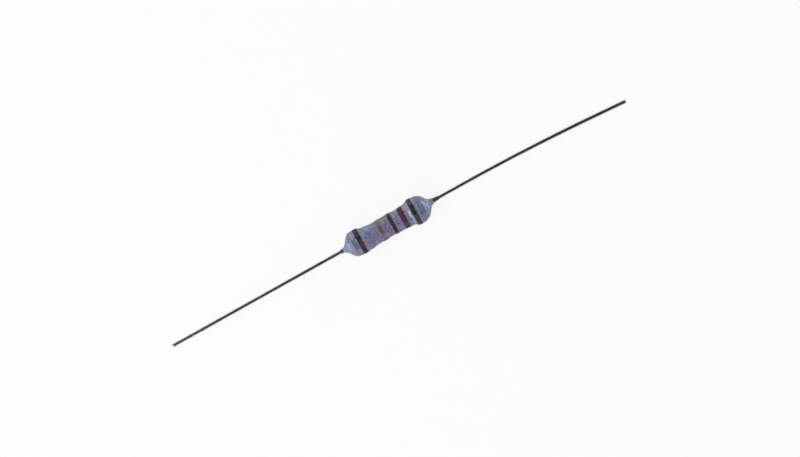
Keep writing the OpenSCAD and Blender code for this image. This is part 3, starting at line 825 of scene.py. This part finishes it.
def buildBackdrop():
    path = [(r, 0.0) for r in stage["floorRings"]]
    for k in range(stage["coveSteps"] + 1):
        turn = math.pi / 2 * k / stage["coveSteps"]
        path.append((stage["flat"] + stage["cove"] * math.sin(turn), stage["cove"] * (1 - math.cos(turn))))
    path.append((stage["flat"] + stage["cove"], stage["wall"]))
    t = np.linspace(0, 2 * math.pi, stage["around"], endpoint=False)
    rings = [np.stack([r * np.cos(t), r * np.sin(t), np.full_like(t, h)], 1) for r, h in path]
    return ringMesh("backdrop", rings, capStart=True)


backdrop = buildBackdrop()
paper, tree, shader, place = newMaterial("paleSweep")
shade = tuple(v * stage["shade"] for v in stage["tone"])
tone = useGroup(tree, mottle, place, Scale=6.0, Tone_A=stage["tone"], Tone_B=shade, Sharpness=0.3)
tree.links.new(tone.outputs["Color"], shader.inputs["Base Color"])
shader.inputs["Roughness"].default_value = 0.9
shader.inputs["Specular IOR Level"].default_value = 0.0
# seen directly or in metal the sweep is white, with part of its shading left in it
rays = tree.nodes.new("ShaderNodeLightPath")
seen = mathNode(tree, "ADD", rays.outputs["Is Camera Ray"], rays.outputs["Is Glossy Ray"])
seen = mathNode(tree, "ADD", seen, rays.outputs["Is Transmission Ray"], clamp=True)
white = tree.nodes.new("ShaderNodeEmission")
white.inputs["Strength"].default_value = 1.0
blend = tree.nodes.new("ShaderNodeMixShader")
tree.links.new(mathNode(tree, "MULTIPLY", seen, stage["whiteShare"]), blend.inputs["Fac"])
tree.links.new(shader.outputs["BSDF"], blend.inputs[1])
tree.links.new(white.outputs["Emission"], blend.inputs[2])
tree.links.new(blend.outputs["Shader"], tree.nodes["Material Output"].inputs["Surface"])
dress(backdrop, paper)

# low broad panels face the two ends, a long strip draws the streak on the shoulder,
# and the overhead fill stays out of reflections so the wires keep their dark tops
lamps = {
    "leftPanel": {"azimuth": 184, "elevation": 14, "away": 0.75, "size": (0.95, 0.36), "watts": 0.9},
    "rightPanel": {"azimuth": 4, "elevation": 12, "away": 0.75, "size": (0.95, 0.3), "watts": 3.5},
    "leftStrip": {"azimuth": 190, "elevation": 43, "away": 0.6, "size": (0.8, 0.065), "watts": 2.4},
    "overheadFill": {"azimuth": 90, "elevation": 80, "away": 0.95, "size": (0.9, 0.9), "watts": 4.05,
                     "mirrored": False},
}
for name, lamp in lamps.items():
    light = bpy.data.lights.new(name, "AREA")
    light.shape = "RECTANGLE"
    light.size, light.size_y = lamp["size"]
    light.energy = lamp["watts"]
    obj = bpy.data.objects.new(name, light)
    bpy.context.scene.collection.objects.link(obj)
    obj.visible_camera = False
    obj.visible_glossy = lamp.get("mirrored", True)
    az, el = math.radians(lamp["azimuth"]), math.radians(lamp["elevation"])
    towards = Vector((math.cos(az) * math.cos(el), math.sin(az) * math.cos(el), math.sin(el)))
    obj.location = towards * lamp["away"]
    obj.rotation_euler = (-towards).to_track_quat("-Z", "Y").to_euler()

world = bpy.data.worlds.new("studio")
bpy.context.scene.world = world
world.use_nodes = True
sky = world.node_tree.nodes["Background"]
sky.inputs["Color"].default_value = (*stage["sky"], 1)
sky.inputs["Strength"].default_value = 1.0

# the camera looks straight down; right and down are how far it aims off the body's middle, in mm
view = {"axisTilt": 29.18, "lens": 105.0, "sensor": 36.0, "nearest": 0.01, "frameWidth": 126.7,
        "right": 1.901, "down": 0.444}
tilt = math.radians(view["axisTilt"])
imageRight = np.array([math.cos(tilt), -math.sin(tilt), 0])
imageUp = np.array([math.sin(tilt), math.cos(tilt), 0])
camera = bpy.data.cameras.new("camera")
camera.lens = view["lens"]
camera.sensor_width = view["sensor"]
camera.clip_start = view["nearest"]
cameraObject = bpy.data.objects.new("camera", camera)
bpy.context.scene.collection.objects.link(cameraObject)
distance = view["frameWidth"] * view["lens"] / camera.sensor_width
aim = middle + (imageRight * view["right"] - imageUp * view["down"]) * mm
cameraObject.location = Vector(aim) + Vector((0, 0, distance * mm))
cameraObject.rotation_euler = (0, 0, -tilt)
bpy.context.scene.camera = cameraObject
bpy.context.scene.view_settings.view_transform = "Standard"
print("stage ready, camera", round(distance, 1), "mm above the body")
